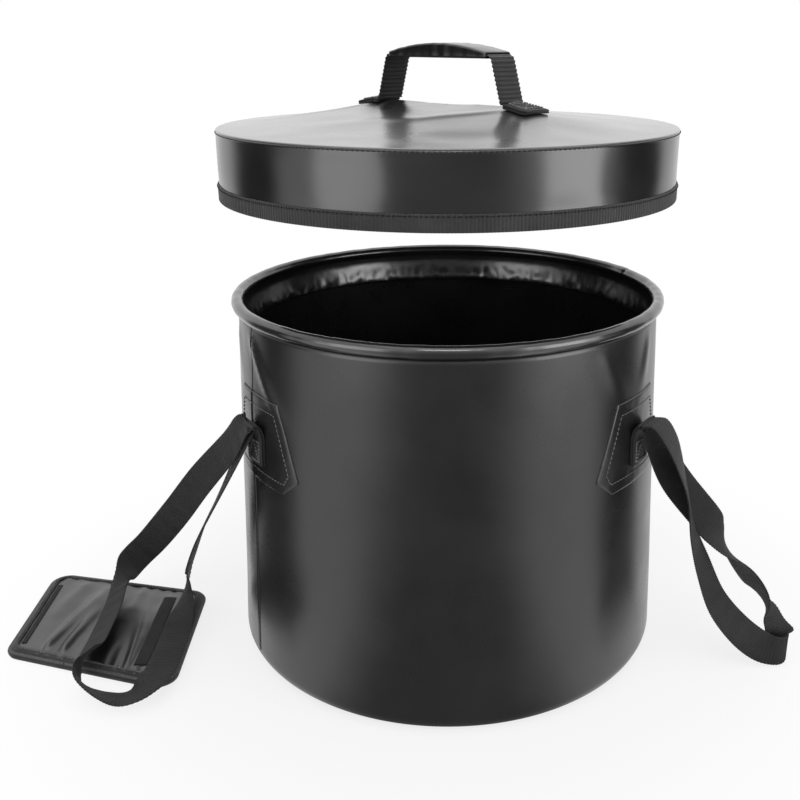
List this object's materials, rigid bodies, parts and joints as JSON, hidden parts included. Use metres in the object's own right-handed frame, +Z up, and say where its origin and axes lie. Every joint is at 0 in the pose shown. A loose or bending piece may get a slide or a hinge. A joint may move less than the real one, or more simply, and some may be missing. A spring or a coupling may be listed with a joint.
{
  "type": "collapsible fishing bucket",
  "caption": "Round soft bucket of coated fabric with a hooped rolled rim, lift-off lid with webbing handle, and side carrying straps, one with an opened grip pad.",
  "frame": {"origin": "centre of the base, on the surface that the bucket stands on", "axes": "+Z up along the bucket axis, -Y towards the front, +X to the right seen from the front"},
  "size_m": [0.6503, 0.35, 0.4759],
  "materials": {
    "shell": "satin coated fabric",
    "hoop": "plain",
    "webbing": "ribbed woven webbing",
    "grip": "satin coated fabric",
    "hem_tape": "woven tape",
    "pad_sheet": "glossy wrinkled sheet",
    "pad_foam": "closed-cell foam",
    "pad_tape": "woven tape"
  },
  "bodies": {
    "wall": {"side_wall": "shell", "side_seam_tape": "shell", "left_patch": "shell", "right_patch": "shell", "left_strap_tab": "webbing", "right_strap_tab": "webbing"},
    "base": {"base_panel": "shell", "base_seam_ring": "shell"},
    "rim": {"rim_hoop": "hoop", "hoop_joint_pin": "hoop", "rim_sleeve": "shell"},
    "lid": {"lid_top": "shell", "lid_skirt": "shell", "lid_hem_tape": "hem_tape", "lid_handle_front_tab": "webbing", "lid_handle_rear_tab": "webbing", "lid_handle_strap": "webbing", "lid_handle_grip": "grip"},
    "left_handle": {"left_strap": "webbing", "pad_base_backing": "pad_sheet", "pad_base_foam": "pad_foam", "pad_base_lining": "pad_sheet", "pad_base_binding": "pad_tape", "pad_loop_tape": "pad_tape"},
    "pad_flap": {"pad_flap_backing": "pad_sheet", "pad_flap_foam": "pad_foam", "pad_flap_lining": "pad_sheet", "pad_flap_binding": "pad_tape", "pad_hook_tape": "pad_tape"},
    "right_handle": {"right_strap": "webbing"}
  },
  "joints": [
    {"name": "collapse", "type": "slide", "parent": "wall", "child": "base", "axis": [0, 0, 1], "range_m": [0, 0.16], "deforming": ["side_wall", "side_seam_tape", "left_patch", "right_patch", "left_strap_tab", "right_strap_tab"]},
    {"name": "rim_drop", "type": "slide", "parent": "wall", "child": "rim", "axis": [0, 0, 1], "range_m": [-0.05314, 0]},
    {"name": "lid_lift", "type": "slide", "parent": "rim", "child": "lid", "axis": [0, 0, 1], "range_m": [-0.1225, 0.1]},
    {"name": "left_handle_swing", "type": "hinge", "parent": "wall", "child": "left_handle", "pos_m": [-0.14702, -0.09731, 0.214], "axis": [-0.5519, 0.8339, 0], "range_deg": [0, 130]},
    {"name": "right_handle_swing", "type": "hinge", "parent": "wall", "child": "right_handle", "pos_m": [0.14702, -0.09731, 0.214], "axis": [-0.5519, -0.8339, 0], "range_deg": [0, 120]},
    {"name": "pad_flap_fold", "type": "hinge", "parent": "left_handle", "child": "pad_flap", "pos_m": [-0.31352, -0.03231, 0.00848], "axis": [-0.0731, 0.9973, 0], "range_deg": [0, 95]}
  ],
  "couplings": [
    {"joint": "rim_drop", "follows": "collapse", "ratio": -0.32897}
  ]
}
